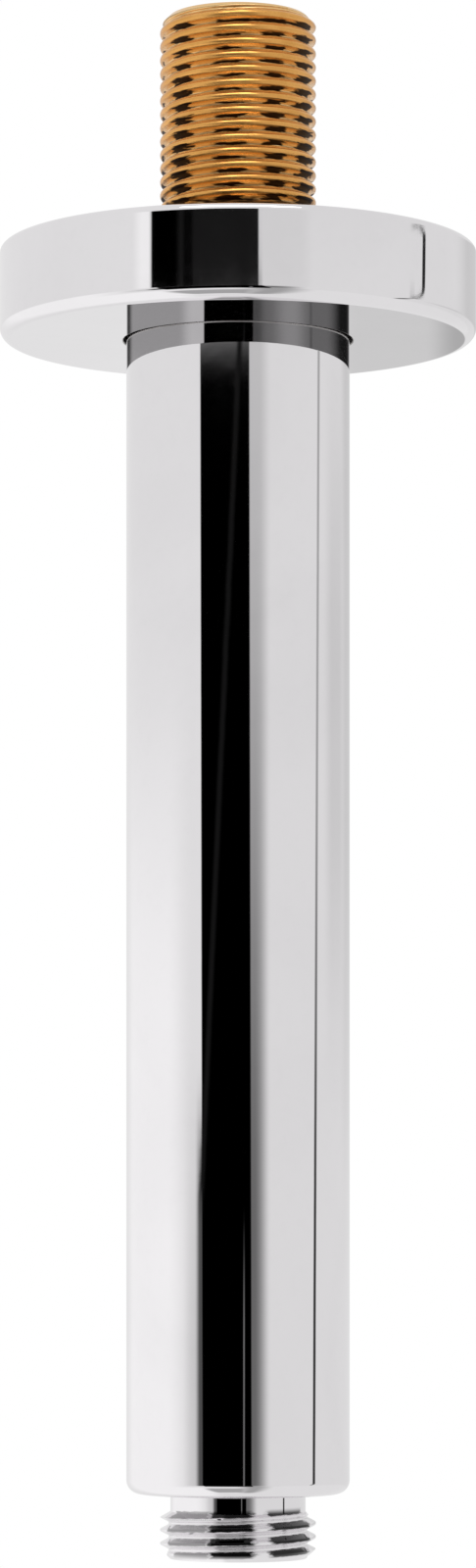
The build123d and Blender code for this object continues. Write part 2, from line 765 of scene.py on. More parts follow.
@dataclass(frozen=True)
class PaintedShadeColumn:
    """Upright column of dark dashes in the grooves of a thread: painted shade and painted reflections of the
    dark studio cards.

    Args:
        azimuth: Middle of the column in degrees from the front, positive to the right.
        half_width: Half of its width in degrees.
        reach: Share of the pitch that the dashes climb along the flank from each root.
        strength: Darkness of the dashes, where one is full.
        zone: Lowest and highest heights of the column, where it is shorter than the thread.
    """

    azimuth: float
    half_width: float
    reach: float
    strength: float = 1.0
    zone: Span | None = None

    @property
    def sides(self) -> Span:
        """Azimuths of the left and right sides."""
        return self.azimuth - self.half_width, self.azimuth + self.half_width


@dataclass(frozen=True)
class PaintedGrooveShade:
    """Painted shade and painted reflections in the grooves of a thread, as a dark film in columns of dashes
    round the piece.

    Args:
        columns: Columns of dashes.
        crest_height: Height of one crest on the left side of the piece.
        zone: Lowest and highest stained heights.
        growth: Extra reach of the dashes at the bottom of the zone, as a share of their reach.
        base: Heights between which a painted shade that covers the whole base fades out.
        flank: Flank that the dashes climb.
        start: Share of the pitch beyond the crest where the dashes start.
        ragged: Unevenness of the dashes as a share of the pitch.
        streak: Length of the streaks at the ends of the dashes, in degrees.
        streaks_in_pitch: Number of streaks in the height of one turn.
        start_blur: Softness of the start of the dashes, as a share of the pitch.
        reach_blur: Softness of the other edge of the dashes, as a share of the pitch.
        side_blur: Softness of the ends of the dashes, in degrees.
        pitch: Distance between turns.
    """

    columns: tuple[PaintedShadeColumn, ...]
    crest_height: float
    zone: Span
    growth: float = 0.0
    base: Span | None = None
    flank: Flank = Flank.UPPER
    start: float = 0.46
    ragged: float = 0.30
    streak: float = 14.0
    streaks_in_pitch: float = 6.0
    start_blur: float = 0.03
    reach_blur: float = 0.04
    side_blur: float = 2.5
    pitch: float = THREAD_PITCH

    def mask(self, sheet: NodeSheet, place: Sequence[Socket]) -> Socket:
        """Marks the painted shade and reflections, which show only where they are seen directly and not in
        other metal.

        Args:
            sheet: Sheet of the material.
            place: The three coordinates of the point.

        Returns:
            One where the stain is full.
        """
        right, away, height = place
        angle = sheet.azimuth(right, away)
        turns = sheet.math("DIVIDE", sheet.math("SUBTRACT", height, self.crest_height), self.pitch)
        uneven = self._unevenness(sheet, angle, turns)
        share = self._share(sheet, angle, turns)
        groove = sheet.math("ADD", share, sheet.math("MULTIPLY", uneven, self.ragged))
        wander = sheet.math("ADD", angle, sheet.math("MULTIPLY", uneven, self.streak * 2.0))
        climb = sheet.ramp(height, *self.zone, 1.0 + self.growth, 1.0)
        rise = sheet.ramp(groove, self.start - self.start_blur, self.start + self.start_blur)
        edge = self.pitch / 4
        # Painted shade and painted reflections: dark dashes in the grooves, shown only to camera rays.
        painted_dark = self._painted_base_shade(sheet, height, uneven)
        for column in self.columns:
            limit = sheet.math("ADD", sheet.math("MULTIPLY", climb, column.reach), ROOT_SHARE)
            past = sheet.math("SUBTRACT", groove, limit)
            fall = sheet.ramp(past, -self.reach_blur, self.reach_blur, column.strength, 0.0)
            wide = sheet.band(wander, column.sides, self.side_blur)
            dash = sheet.math("MULTIPLY", wide, sheet.math("MULTIPLY", rise, fall))
            if column.zone is not None:
                dash = sheet.math("MULTIPLY", dash, sheet.band(height, column.zone, edge))
            painted_dark = sheet.math("MAXIMUM", painted_dark, dash)
        painted_dark = sheet.math("MULTIPLY", painted_dark, sheet.band(height, self.zone, edge))
        return sheet.math("MULTIPLY", painted_dark, sheet.add("ShaderNodeLightPath").outputs["Is Camera Ray"])

    def _share(self, sheet: NodeSheet, angle: Socket, turns: Socket) -> Socket:
        """Finds how far a point lies along the pitch from the crest.

        Args:
            sheet: Sheet of the material.
            angle: Azimuth of the point.
            turns: Height of the point above the crest on the left side, in turns.

        Returns:
            The share of the pitch, counted towards the flank that the dashes climb.
        """
        lead = sheet.math("DIVIDE", sheet.math("SUBTRACT", angle, LEFT_SIDE), FULL_TURN)
        helix = sheet.math("SUBTRACT", turns, lead)
        if self.flank is Flank.LOWER:
            helix = sheet.math("MULTIPLY", helix, -1.0)
        return sheet.math("FRACT", helix)

    def _unevenness(self, sheet: NodeSheet, angle: Socket, turns: Socket) -> Socket:
        """Adds the streaks that make the dashes ragged.

        Args:
            sheet: Sheet of the material.
            angle: Azimuth of the point.
            turns: Height of the point in turns.

        Returns:
            A number about zero.
        """
        streaks = sheet.add("ShaderNodeCombineXYZ")
        sheet.feed(streaks.inputs[0], sheet.math("DIVIDE", angle, self.streak))
        sheet.feed(streaks.inputs[1], sheet.math("MULTIPLY", turns, self.streaks_in_pitch))
        return sheet.math("SUBTRACT", sheet.noise(streaks.outputs[0], 1.0), 0.5)

    def _painted_base_shade(self, sheet: NodeSheet, height: Socket, uneven: Socket) -> Feed:
        """Marks the painted shade that covers the base of the thread, where the flange's rim and hollow
        darken it.

        Args:
            sheet: Sheet of the material.
            height: Height of the point.
            uneven: Unevenness of the painted shade's edge.

        Returns:
            One where the painted shade is full, or a plain zero where there is none.
        """
        if self.base is None:
            return 0.0
        ragged = sheet.math("ADD", height, sheet.math("MULTIPLY", uneven, self.pitch * 2))
        return sheet.ramp(ragged, *self.base, 1.0, 0.0)


@dataclass(frozen=True)
class PlateFinish:
    """Chrome plate over brass.

    Args:
        name: Name of the material.
        clean: Colour of the clean plate.
        hazed: Colour under the polishing haze.
        smooth: Roughness of the clean plate.
        dulled: Roughness under the haze.
        haze_size: Number of smears in a metre.
        wave: Height of the slow waves that polishing leaves.
        ring_height: Height of the tool rings that show through the plate.
        film: Colour of the painted shade and reflections in the grooves.
        painted_groove_shade: Places of the painted shade and reflections.
    """

    name: str
    clean: Colour
    hazed: Colour
    smooth: float
    dulled: float
    haze_size: float
    wave: float
    ring_height: float
    # Colour of the painted shade and painted reflections of dark cards in the outlet's grooves.
    film: Colour = (0.006, 0.006, 0.006, 1.0)
    painted_groove_shade: PaintedGrooveShade | None = None

    def build(self, effects: SurfaceEffects) -> bpy.types.Material:
        """Makes the material.

        Args:
            effects: Shared node groups.

        Returns:
            The material.
        """
        material, sheet, shader = new_material(self.name)
        haze = effects.use(sheet, effects.haze, Size=self.haze_size, Speck=0.25)
        marks = effects.use(sheet, effects.turning, Feed=7000.0, Unevenness=0.2)
        smear = haze.outputs["Smear"]
        shader.inputs["Metallic"].default_value = 1.0
        colour = sheet.mix_colour(smear, self.clean, self.hazed)
        # Painted shade and painted reflections darken the grooves where the mask is set.
        if self.painted_groove_shade is not None:
            painted_dark = self.painted_groove_shade.mask(sheet, sheet.split(sheet.place()))
            colour = sheet.mix_colour(painted_dark, colour, self.film)
        sheet.feed(shader.inputs["Base Color"], colour)
        sheet.feed(shader.inputs["Roughness"], sheet.ramp(smear, 0.0, FULL_SMEAR, self.smooth, self.dulled))
        rings = sheet.bump(marks.outputs["Height"], self.ring_height)
        sheet.feed(shader.inputs["Normal"], sheet.bump(haze.outputs["Height"], self.wave, rings))
        return material


@dataclass(frozen=True)
class RawBrassFinish:
    """Raw turned brass, coloured by radius between the flanks and the handled crests; on the inlet's thread
    the paler flanks are painted light, standing in for the brightness that repeated reflections in the
    grooves take away.

    Args:
        name: Name of the material.
        crest: Colour of the crests.
        worn: Colour of the handled patches.
        flank: Colour of the flanks, painted paler than the crests on the inlet's thread as painted light.
        painted_shade_colour: Colour of the painted shade and reflections in the grooves.
        flank_radius: Radius below which the flank colour is full.
        crest_radius: Radius above which the crest colour is full.
        painted_groove_shade: Painted shade and reflections in the grooves.
        smooth: Roughness of the fresh metal.
        wear: Roughness that wear adds.
        dulled: Roughness under the painted shade and reflections.
        ring_height: Height of the tool rings.
    """

    name: str
    crest: Colour
    worn: Colour
    flank: Colour
    painted_shade_colour: Colour
    flank_radius: float
    crest_radius: float
    painted_groove_shade: PaintedGrooveShade | None = None
    smooth: float = 0.17
    wear: float = 0.08
    dulled: float = 0.5
    ring_height: float = 0.00002

    def build(self, effects: SurfaceEffects) -> bpy.types.Material:
        """Makes the material.

        Args:
            effects: Shared node groups.

        Returns:
            The material.
        """
        material, sheet, shader = new_material(self.name)
        haze = effects.use(sheet, effects.haze, Size=140.0, Speck=0.5)
        marks = effects.use(sheet, effects.turning, Feed=12000.0, Unevenness=0.4)
        place = sheet.split(sheet.place())
        handled = sheet.mix_colour(haze.outputs["Smear"], self.crest, self.worn)
        # Flanks take their own colour below the flank radius; on the inlet this paler colour is painted
        # light for the grooves.
        outer = sheet.ramp(sheet.hypotenuse(place[0], place[1]), self.flank_radius, self.crest_radius)
        colour = sheet.mix_colour(outer, self.flank, handled)
        rough = sheet.math("ADD", sheet.math("MULTIPLY", marks.outputs["Wear"], self.wear), self.smooth)
        # Painted shade and painted reflections darken the grooves where the mask is set.
        if self.painted_groove_shade is not None:
            painted_dark = self.painted_groove_shade.mask(sheet, place)
            colour = sheet.mix_colour(painted_dark, colour, self.painted_shade_colour)
            rough = sheet.mix_value(painted_dark, rough, self.dulled)
        shader.inputs["Metallic"].default_value = 1.0
        sheet.feed(shader.inputs["Base Color"], colour)
        sheet.feed(shader.inputs["Roughness"], rough)
        sheet.feed(shader.inputs["Normal"], sheet.bump(marks.outputs["Height"], self.ring_height))
        return material


@dataclass(frozen=True)
class RubberFinish:
    """Black rubber with a dusty bloom.

    Args:
        name: Name of the material.
        fresh: Colour of the clean rubber.
        bloom: Colour of the dusty patches.
        smooth: Roughness of the clean rubber.
        dulled: Roughness of the dusty patches.
        grain: Height of the grain.
    """

    name: str
    fresh: Colour
    bloom: Colour
    smooth: float = 0.55
    dulled: float = 0.8
    grain: float = 0.00004

    def build(self, effects: SurfaceEffects) -> bpy.types.Material:
        """Makes the material.

        Args:
            effects: Shared node groups.

        Returns:
            The material.
        """
        material, sheet, shader = new_material(self.name)
        haze = effects.use(sheet, effects.haze, Size=220.0, Speck=0.6)
        smear = haze.outputs["Smear"]
        sheet.feed(shader.inputs["Base Color"], sheet.mix_colour(smear, self.fresh, self.bloom))
        sheet.feed(shader.inputs["Roughness"], sheet.ramp(smear, 0.0, FULL_SMEAR, self.smooth, self.dulled))
        sheet.feed(shader.inputs["Normal"], sheet.bump(haze.outputs["Height"], self.grain))
        return material


@dataclass(frozen=True)
class FloorFinish:
    """Pale studio floor that fades out away from the object and is clear from below.

    Args:
        name: Name of the material.
        pale: Main colour.
        shaded: Colour of the faint mottling.
        full_radius: Radius up to which the floor is solid.
        clear_radius: Radius beyond which the floor is clear.
        smooth: Roughness of the clean floor.
        dulled: Roughness of the mottling.
        gloss: Specular level.
    """

    name: str
    pale: Colour
    shaded: Colour
    full_radius: float
    clear_radius: float
    smooth: float = 0.7
    dulled: float = 0.85
    gloss: float = 0.1

    def build(self, effects: SurfaceEffects) -> bpy.types.Material:
        """Makes the material.

        Args:
            effects: Shared node groups.

        Returns:
            The material.
        """
        material, sheet, shader = new_material(self.name)
        smear = effects.use(sheet, effects.haze, Size=6.0, Speck=0.2).outputs["Smear"]
        sheet.feed(shader.inputs["Base Color"], sheet.mix_colour(smear, self.pale, self.shaded))
        sheet.feed(shader.inputs["Roughness"], sheet.ramp(smear, 0.0, FULL_SMEAR, self.smooth, self.dulled))
        shader.inputs["Specular IOR Level"].default_value = self.gloss
        length = sheet.add("ShaderNodeVectorMath", operation="LENGTH")
        sheet.feed(length.inputs[0], sheet.place())
        solid = sheet.ramp(length.outputs["Value"], self.full_radius, self.clear_radius, 1.0, 0.0)
        front = sheet.math("SUBTRACT", 1.0, sheet.add("ShaderNodeNewGeometry").outputs["Backfacing"])
        sheet.feed(shader.inputs["Alpha"], sheet.math("MULTIPLY", solid, front))
        return material


@dataclass(frozen=True)
class Finishes:
    """Every material of the spout."""

    polished: bpy.types.Material
    grooved: bpy.types.Material
    satin: bpy.types.Material
    brass: bpy.types.Material
    raw_inside: bpy.types.Material
    rubber: bpy.types.Material

    @classmethod
    def build(cls, effects: SurfaceEffects) -> Self:
        """Makes the materials from their finishes.

        Args:
            effects: Shared node groups.

        Returns:
            The materials.
        """
        polished = PlateFinish(
            name="polished_chrome",
            clean=(0.87, 0.855, 0.87, 1.0),
            hazed=(0.84, 0.825, 0.84, 1.0),
            smooth=0.012,
            dulled=0.035,
            haze_size=28.0,
            wave=0.00001,
            ring_height=0.00000006,
        )
        # The outlet's plate carries painted shade and painted reflections of the dark cards in its grooves.
        grooved = replace(polished, name="grooved_chrome", painted_groove_shade=cls._outlet_painted_reflections())
        # The satin plate's dark colours are partly the dull, unpolished plate and partly painted shade of
        # the cup's hollow and the hole's edge.
        satin = PlateFinish(
            name="satin_chrome",
            clean=(0.46, 0.45, 0.44, 1.0),
            hazed=(0.34, 0.33, 0.32, 1.0),
            smooth=0.26,
            dulled=0.42,
            haze_size=90.0,
            wave=0.00002,
            ring_height=0.00001,
        )
        brass = RawBrassFinish(
            name="raw_brass",
            crest=(0.80, 0.41, 0.115, 1.0),
            worn=(0.71, 0.35, 0.09, 1.0),
            # Paler flanks are painted light, standing in for the brightness that repeated reflections in the
            # grooves take away.
            flank=(0.87, 0.575, 0.27, 1.0),
            painted_shade_colour=(0.02, 0.008, 0.003, 1.0),
            flank_radius=0.0098,
            crest_radius=0.0103,
            painted_groove_shade=cls._inlet_painted_shade(),
        )
        raw_inside = RawBrassFinish(
            name="raw_brass_waterway",
            crest=(0.62, 0.38, 0.16, 1.0),
            worn=(0.50, 0.29, 0.11, 1.0),
            flank=(0.56, 0.34, 0.14, 1.0),
            painted_shade_colour=(0.07, 0.03, 0.01, 1.0),
            flank_radius=0.0070,
            crest_radius=0.0080,
        )
        rubber = RubberFinish(
            name="black_rubber",
            fresh=(0.012, 0.012, 0.013, 1.0),
            bloom=(0.035, 0.034, 0.033, 1.0),
        )
        return cls(
            polished=polished.build(effects),
            grooved=grooved.build(effects),
            satin=satin.build(effects),
            brass=brass.build(effects),
            raw_inside=raw_inside.build(effects),
            rubber=rubber.build(effects),
        )

    @staticmethod
    def _outlet_painted_reflections(lap: float = 0.00025) -> PaintedGrooveShade:
        """Places the painted reflections of the dark cards, and painted shade, on the outlet's thread.

        Args:
            lap: Distance that the painted shade laps down over the crests.

        Returns:
            The painted shade and reflections.
        """
        return PaintedGrooveShade(
            columns=(
                PaintedShadeColumn(-43.5, 20.0, 0.46, strength=0.62),
                PaintedShadeColumn(-5.5, 17.5, 0.46),
                PaintedShadeColumn(46.0, 21.0, 0.46, strength=0.97),
                PaintedShadeColumn(112.0, 22.0, 0.40, strength=0.7),
                PaintedShadeColumn(-160.0, 20.0, 0.42, strength=0.9),
                PaintedShadeColumn(-104.0, 16.0, 0.36, strength=0.5),
            ),
            crest_height=OUTLET_CREST - lap,
            zone=(-0.1752, -0.1690),
            flank=Flank.LOWER,
            start=0.45,
            ragged=0.14,
            streak=6.0,
        )

    @staticmethod
    def _inlet_painted_shade() -> PaintedGrooveShade:
        """Places the painted shade and painted reflections on the inlet's thread, the first column running
        all round its roots.
        """
        return PaintedGrooveShade(
            columns=(
                PaintedShadeColumn(0.0, 200.0, 0.03, strength=0.55),
                PaintedShadeColumn(22.0, 40.0, 0.15, zone=(0.0276, 0.0294)),
                PaintedShadeColumn(-49.0, 10.0, 0.27),
                PaintedShadeColumn(-7.0, 11.0, 0.12),
                PaintedShadeColumn(29.0, 9.5, 0.20),
                PaintedShadeColumn(63.0, 12.0, 0.27),
                PaintedShadeColumn(104.0, 11.0, 0.16),
                PaintedShadeColumn(150.0, 10.0, 0.08),
                PaintedShadeColumn(-166.0, 12.0, 0.18),
                PaintedShadeColumn(-126.0, 10.0, 0.10),
                PaintedShadeColumn(-92.0, 8.0, 0.16),
            ),
            crest_height=INLET_CREST,
            zone=(0.0, 0.0299),
            growth=0.9,
            # The base of the thread is painted dark, a painted shade where the flange's rim and hollow show.
            base=(0.0044, 0.0056),
        )


# Pieces


def place_piece(piece: bpy.types.Object, body: Body, node: str) -> bpy.types.Object:
    """Fixes a piece to its body in the place of a solid.

    Args:
        piece: Piece to fix.
        body: Body that it rides on.
        node: Solid that it stands for.

    Returns:
        The piece.
    """
    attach(piece, body.value)
    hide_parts(node)
    LOG.info("%s: %d faces on %s", piece.name, len(piece.data.polygons), body.value)
    return piece


@dataclass(frozen=True)
class SpoutTube:
    """Straight chromed tube with a rounded closed end.

    Args:
        wall: Thickness of the tube.
        end_wall: Thickness of the closed end.
        edge: Rounding of the lower edge.
        lead_in: Rounding of the upper edge.
        mouth_edge: Rounding of the bore's upper edge.
        floor_edge: Rounding between the bore and the closed end.
        hole_radius: Radius of the hole for the outlet.
        columns: Number of columns about the axis.
    """

    wall: float = 0.0015
    end_wall: float = 0.003
    edge: float = 0.0018
    lead_in: float = 0.0006
    mouth_edge: float = 0.0002
    floor_edge: float = 0.0008
    hole_radius: float = 0.0085275
    columns: int = 320

    def outline(self) -> TurnedOutline:
        """Draws the section within the solid's outer sizes.

        Returns:
            The outline.
        """
        low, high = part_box("spout_tube")
        radius, bottom, top = high[0], low[2], high[2]
        bore, floor = radius - self.wall, low[2] + self.end_wall
        return TurnedOutline(
            [
                Corner(self.hole_radius, bottom),
                Corner(radius, bottom, self.edge),
                Corner(radius, top, self.lead_in),
                Corner(bore, top, self.mouth_edge, Face.INSIDE),
                Corner(bore, floor, self.floor_edge, Face.INSIDE),
                Corner(self.hole_radius, floor, face=Face.INSIDE),
            ]
        )

    def build(self, finishes: Finishes) -> bpy.types.Object:
        """Builds and dresses the tube.

        Args:
            finishes: Materials of the spout.

        Returns:
            The tube.
        """
        mesh = TurnedMesh("spout_tube_chrome", self.columns)
        mesh.turn(self.outline())
        piece = mesh.build([finishes.polished, finishes.raw_inside])
        return place_piece(piece, Body.SPOUT, "spout_tube")


@dataclass(frozen=True)
class InletNipple:
    """Raw brass nipple with the long thread that screws into the ceiling.

    Args:
        bore_radius: Radius of the waterway.
        relief_radius: Radius of the groove below the thread.
        end_radius: Radius of the upper end face.
        plug_radius: Radius of the plug in the tube.
        plug_length: Length of the plug.
        shoulder_height: Height of the shoulder above the tube.
        thread_start: Height where the thread starts.
        run_out: Rise of the thread's radius with height at its lower end.
        chamfer: Rise of the thread's radius with depth at its upper end.
        crest_round: Rounding of the thread's crests.
        root_round: Rounding of the thread's roots.
        seat_edge: Rounding of the corners that seat on the tube.
        inner_edge: Rounding of the bore's lower edge and of the groove's floor.
        plug_edge: Rounding of the plug's lower edge.
        shoulder_edge: Rounding of the shoulder.
        mouth_edge: Rounding of the bore's upper edge.
        columns: Number of columns about the axis.
    """

    bore_radius: float = 0.0074775
    relief_radius: float = RELIEF_RADIUS
    end_radius: float = 0.0092975
    plug_radius: float = 0.01345
    plug_length: float = 0.009
    shoulder_height: float = 0.002
    thread_start: float = 0.0
    run_out: float = 0.8
    chamfer: float = 1.0
    crest_round: float = 0.00055
    root_round: float = 0.00018
    seat_edge: float = 0.0001
    inner_edge: float = 0.0003
    plug_edge: float = 0.0005
    shoulder_edge: float = 0.0004
    mouth_edge: float = 0.0005
    columns: int = 192

    def outline(self) -> tuple[TurnedOutline, int]:
        """Draws the section within the solid's outer sizes.

        Returns:
            The outline, and the number of the corner that the threaded run starts from.
        """
        low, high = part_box("inlet_nipple")
        bottom, top, shoulder_radius = low[2], high[2], high[0]
        seat = bottom + self.plug_length
        shoulder = seat + self.shoulder_height
        below = [
            Corner(self.bore_radius, bottom, self.inner_edge),
            Corner(self.plug_radius, bottom, self.plug_edge),
            Corner(self.plug_radius, seat, self.seat_edge),
            Corner(shoulder_radius, seat, self.seat_edge),
            Corner(shoulder_radius, shoulder, self.shoulder_edge),
            Corner(self.relief_radius, shoulder, self.inner_edge),
            Corner(self.relief_radius, self.thread_start, 0.0),
        ]
        above = [
            Corner(self.end_radius, top, 0.0),
            Corner(self.bore_radius, top, self.mouth_edge, Face.INSIDE),
        ]
        return TurnedOutline(below + above), len(below) - 1

    def thread(self) -> PipeThread:
        """Lays the thread out between the groove and the end.

        Returns:
            The thread.
        """
        return PipeThread(
            low=self.thread_start,
            high=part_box("inlet_nipple")[1][2],
            low_radius=self.relief_radius,
            high_radius=self.end_radius,
            low_slope=self.run_out,
            high_slope=self.chamfer,
            crest_height=INLET_CREST,
            crest_round=self.crest_round,
            root_round=self.root_round,
        )

    def build(self, finishes: Finishes) -> bpy.types.Object:
        """Builds and dresses the nipple.

        Args:
            finishes: Materials of the spout.

        Returns:
            The nipple.
        """
        outline, thread_after = self.outline()
        mesh = TurnedMesh("inlet_nipple_brass", self.columns)
        mesh.turn(outline, self.thread(), thread_after)
        piece = mesh.build([finishes.brass, finishes.raw_inside])
        return place_piece(piece, Body.SPOUT, "inlet_nipple")


@dataclass(frozen=True)
class OutletNipple:
    """Chromed nipple in the tube's end, with the short thread for a shower head.

    Args:
        bore_radius: Radius of the waterway.
        neck_radius: Radius of the neck.
        end_radius: Radius of the lower end face.
        spigot_radius: Radius of the spigot in the tube's end.
        neck_length: Length of the neck below the tube.
        run_in: Rise of the thread's radius with depth below the neck.
        chamfer: Rise of the thread's radius with height at its lower end.
        braze: Rounding where the neck meets the tube.
        seat_edge: Rounding between the neck and the spigot.
        spigot_edge: Rounding of the spigot's end.
        mouth_edge: Rounding of the bore's lower edge.
        columns: Number of columns about the axis.
    """

    bore_radius: float = 0.0069775
    neck_radius: float = RELIEF_RADIUS
    end_radius: float = 0.0091775
    spigot_radius: float = 0.0084775
    neck_length: float = 0.0024
    run_in: float = 1.8
    chamfer: float = 1.0
    braze: float = 0.00015
    seat_edge: float = 0.0001
    spigot_edge: float = 0.0003
    mouth_edge: float = 0.0005
    columns: int = 224

    @property
    def seat(self) -> float:
        """Height of the tube's lower end, which the neck bears on."""
        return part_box("spout_tube")[0][2]

    @property
    def thread_top(self) -> float:
        """Height where the neck ends and the thread starts."""
        return self.seat - self.neck_length

    def outline(self) -> tuple[TurnedOutline, int]:
        """Draws the section within the solid's outer sizes.

        Returns:
            The outline, and the number of the corner that the threaded run starts from.
        """
        low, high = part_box("outlet_nipple")
        bottom, top = low[2], high[2]
        below = [
            Corner(self.bore_radius, bottom, self.mouth_edge),
            Corner(self.end_radius, bottom, 0.0),
        ]
        above = [
            Corner(self.neck_radius, self.thread_top, 0.0),
            Corner(self.neck_radius, self.seat, self.braze),
            Corner(self.spigot_radius, self.seat, self.seat_edge, Face.INSIDE),
            Corner(self.spigot_radius, top, self.spigot_edge, Face.INSIDE),
            Corner(self.bore_radius, top, self.spigot_edge, Face.INSIDE),
        ]
        return TurnedOutline(below + above), len(below) - 1

    def thread(self) -> PipeThread:
        """Lays the thread out between the end and the neck.

        Returns:
            The thread.
        """
        return PipeThread(
            low=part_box("outlet_nipple")[0][2],
            high=self.thread_top,
            low_radius=self.end_radius,
            high_radius=self.neck_radius,
            low_slope=self.chamfer,
            high_slope=self.run_in,
            crest_height=OUTLET_CREST,
        )

    def build(self, finishes: Finishes) -> bpy.types.Object:
        """Builds and dresses the nipple.

        Args:
            finishes: Materials of the spout.

        Returns:
            The nipple.
        """
        outline, thread_after = self.outline()
        mesh = TurnedMesh("outlet_nipple_chrome", self.columns)
        mesh.turn(outline, self.thread(), thread_after)
        piece = mesh.build([finishes.grooved, finishes.raw_inside])
        return place_piece(piece, Body.SPOUT, "outlet_nipple")


@dataclass(frozen=True)
class CeilingFlange:
    """Loose chromed cup with a grooved boss round the tube.

    Args:
        wall: Thickness of the cup's wall.
        floor: Thickness of the cup's floor.
        lower_edge: Rounding of the lower edge.
        rim_edge: Rounding of the rim's outer edge.
        rim_inner_edge: Rounding of the rim's inner edge.
        floor_edge: Rounding between the cup's wall and floor.
        hole_radius: Radius of the hole for the tube.
        hole_edge: Rounding of the hole's lower edge.
        boss_radius: Outer radius of the boss.
        boss_height: Height of the boss above the underside.
        boss_foot: Rounding between the boss and the floor.
        boss_edge: Rounding of the boss's upper edges.
        groove_radius: Radius of the groove's floor.
        groove_low: Height of the groove's lower side above the underside.
        groove_high: Height of the groove's upper side above the underside.
        columns: Number of columns about the axis.
    """

    wall: float = 0.002
    floor: float = 0.002
    lower_edge: float = 0.0016
    rim_edge: float = 0.0009
    rim_inner_edge: float = 0.0002
    floor_edge: float = 0.0012
    hole_radius: float = 0.0154
    hole_edge: float = 0.00015
    boss_radius: float = 0.0187
    boss_height: float = 0.0075
    boss_foot: float = 0.0008
    boss_edge: float = 0.0004
    groove_radius: float = 0.0167
    groove_low: float = 0.00335
    groove_high: float = 0.00585
    columns: int = 400

    def outline(self) -> TurnedOutline:
        """Draws the section within the solid's outer sizes.

        Returns:
            The outline.
        """
        low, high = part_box("ceiling_flange")
        radius, underside, rim = high[0], low[2], high[2]
        inside, floor = radius - self.wall, underside + self.floor
        boss_top = underside + self.boss_height
        groove_low, groove_high = underside + self.groove_low, underside + self.groove_high
        return TurnedOutline(
            [
                # The hole's lower edge takes the satin plate of the run before it, a painted shade on the
                # seam round the tube.
                Corner(self.hole_radius, underside, self.hole_edge),
                Corner(radius, underside, self.lower_edge),
                Corner(radius, rim, self.rim_edge),
                Corner(inside, rim, self.rim_inner_edge, Face.INSIDE),
                Corner(inside, floor, self.floor_edge, Face.INSIDE),
                Corner(self.boss_radius, floor, self.boss_foot, Face.INSIDE),
                Corner(self.boss_radius, boss_top, self.boss_edge, Face.INSIDE),
                Corner(self.hole_radius, boss_top, self.boss_edge, Face.INSIDE),
                Corner(self.hole_radius, groove_high, face=Face.INSIDE),
                Corner(self.groove_radius, groove_high, face=Face.INSIDE),
                Corner(self.groove_radius, groove_low, face=Face.INSIDE),
                Corner(self.hole_radius, groove_low, face=Face.INSIDE),
            ]
        )

    def build(self, finishes: Finishes) -> bpy.types.Object:
        """Builds and dresses the flange.

        Args:
            finishes: Materials of the spout.

        Returns:
            The flange.
        """
        mesh = TurnedMesh("ceiling_flange_chrome", self.columns)
        mesh.turn(self.outline())
        piece = mesh.build([finishes.polished, finishes.satin])
        return place_piece(piece, Body.FLANGE, "ceiling_flange")


@dataclass(frozen=True)
class GripRing:
    """Square-cut rubber ring that holds the flange where it is pushed.

    Args:
        wall: Thickness of the ring.
        edge: Rounding of its edges.
        columns: Number of columns about the axis.
    """

    wall: float = 0.00162
    edge: float = 0.0002
    columns: int = 192

    def outline(self) -> TurnedOutline:
        """Draws the section within the solid's outer sizes.

        Returns:
            The outline.
        """
        low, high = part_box("flange_grip_ring")
        radius, bottom, top = high[0], low[2], high[2]
        inner = radius - self.wall
        corners = ((inner, bottom), (radius, bottom), (radius, top), (inner, top))
        return TurnedOutline([Corner(*corner, self.edge) for corner in corners])

    def build(self, finishes: Finishes) -> bpy.types.Object:
        """Builds and dresses the ring.

        Args:
            finishes: Materials of the spout.

        Returns:
            The ring.
        """
        mesh = TurnedMesh("grip_ring_rubber", self.columns)
        mesh.turn(self.outline())
        piece = mesh.build([finishes.rubber])
        return place_piece(piece, Body.GRIP_RING, "flange_grip_ring")


# Studio


@dataclass(frozen=True)
class Outlook:
    """Sockets that say where a ray of the studio looks.

    Args:
        azimuth: Azimuth of the direction in degrees.
        elevation: Elevation of the direction in degrees.
        doubled: One for a ray that left the metal after two reflections or more.
    """

    azimuth: Socket
    elevation: Socket
    doubled: Socket


@dataclass(frozen=True)
class Card:
    """Card of the studio, placed by the direction it is seen in from the object.

    Azimuths are in degrees from the front, positive to the right; elevations are in degrees.

    Args:
        azimuth: Azimuths of its left and right edges at eye level.
        elevation: Elevations of its lower and upper edges.
        level: Brightness, where one is white.
        soft: Softness of its upright edges.
        soft_ends: Softness of its lower and upper edges.
        lean: Change of azimuth with elevation.
        doubled: Whether the card shows only where metal is seen in metal.
    """

    azimuth: Span
    elevation: Span
    level: float
    soft: float = 1.0
    soft_ends: float = 0.3
    lean: float = 0.0
    doubled: bool = False

    def lay(self, sheet: NodeSheet, outlook: Outlook, under: Feed) -> Socket:
        """Lays the card over what is already there.

        Args:
            sheet: Sheet of the world.
            outlook: Where the ray looks.
            under: Brightness below the card.

        Returns:
            The brightness with the card in place.
        """
        across = outlook.azimuth
        if self.lean:
            across = sheet.math("SUBTRACT", across, sheet.math("MULTIPLY", outlook.elevation, self.lean))
        wide = sheet.band(across, self.azimuth, self.soft)
        tall = sheet.band(outlook.elevation, self.elevation, self.soft_ends)
        cover = sheet.math("MULTIPLY", wide, tall)
        if self.doubled:
            cover = sheet.math("MULTIPLY", cover, outlook.doubled)
        return sheet.mix_value(cover, under, self.level)


